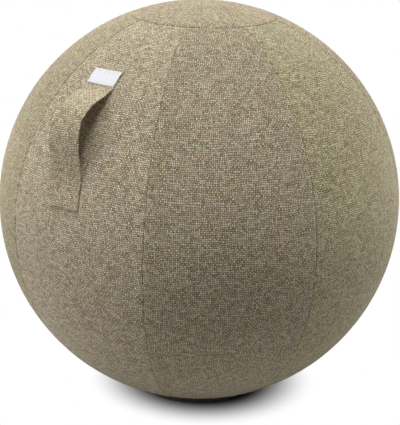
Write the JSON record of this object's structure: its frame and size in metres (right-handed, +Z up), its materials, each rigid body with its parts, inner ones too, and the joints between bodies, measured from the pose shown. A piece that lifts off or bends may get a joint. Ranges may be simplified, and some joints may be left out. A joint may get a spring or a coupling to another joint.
{
  "type": "balance ball chair",
  "caption": "Round seat ball in a sewn melange fabric cover with a side carry handle, a blank woven label, an anti-roll base ring and a zipped base flap over the valve.",
  "frame": {"origin": "on the floor under the ball's centre", "axes": "+Z up, the carry handle faces -Y, +X to the right of someone who faces the handle"},
  "size_m": [0.6498, 0.6498, 0.6464],
  "materials": {
    "cover_fabric": "beige and brown melange upholstery weave, matt",
    "base_fabric": "coated non-slip base cloth, matt",
    "ring_fabric": "woven sleeve, matt",
    "ring_foam": "closed-cell cord",
    "sewing_thread": "polyester thread",
    "label_thread": "polyester thread",
    "label_cloth": "woven satin, blank",
    "zip_tape": "woven tape",
    "zip_coil": "nylon coil",
    "zip_metal": "black enamel",
    "ball_pvc": "smooth grey vinyl",
    "valve_plastic": "soft white plastic"
  },
  "bodies": {
    "ball": {"top_cap": "cover_fabric", "gore_1": "cover_fabric", "gore_2": "cover_fabric", "gore_3": "cover_fabric", "gore_4": "cover_fabric", "gore_5": "cover_fabric", "gore_6": "cover_fabric", "gore_7": "cover_fabric", "gore_8": "cover_fabric", "handle_strap": "cover_fabric", "handle_backing_top": "cover_fabric", "handle_backing_bottom": "cover_fabric", "base_panel": "base_fabric", "flap_hinge_panel": "base_fabric", "zip_end_patch": "base_fabric", "base_ring_sleeve": "ring_fabric", "base_ring_core": "ring_foam", "base_ring_stitching": "sewing_thread", "handle_stitching": "sewing_thread", "label_stitching": "label_thread", "label": "label_cloth", "zip_tape_outer": "zip_tape", "zip_tape_end": "zip_tape", "zip_coil_outer": "zip_coil", "zip_coil_ends": "zip_coil", "zip_stops": "zip_metal", "inner_ball": "ball_pvc", "valve_seat": "valve_plastic"},
    "base_flap": {"flap_panel": "base_fabric", "zip_tape_inner": "zip_tape", "zip_coil_inner": "zip_coil"},
    "zip_slider": {"zip_slider": "zip_metal"},
    "zip_pull": {"zip_pull": "zip_metal"},
    "valve_plug": {"valve_plug": "valve_plastic"}
  },
  "joints": [
    {"name": "flap_open", "type": "hinge", "parent": "ball", "child": "base_flap", "pos_m": [0, -0.064, 0.00303], "axis": [-1, 0, 0], "range_deg": [0, 90]},
    {"name": "zip_travel", "type": "hinge", "parent": "ball", "child": "zip_slider", "pos_m": [0, 0, 0.004], "axis": [0, 0, 1], "range_deg": [0, 332]},
    {"name": "pull_swing", "type": "hinge", "parent": "zip_slider", "child": "zip_pull", "pos_m": [0.01507, -0.07522, 0.00284], "axis": [-0.2354, 0.9426, -0.2368], "range_deg": [0, 150]},
    {"name": "plug_pull", "type": "slide", "parent": "ball", "child": "valve_plug", "axis": [0, 0, -1], "range_m": [0, 0.0175]}
  ],
  "couplings": [
    {"joint": "plug_pull", "follows": "flap_open", "m_per_rad": 0.01114}
  ]
}
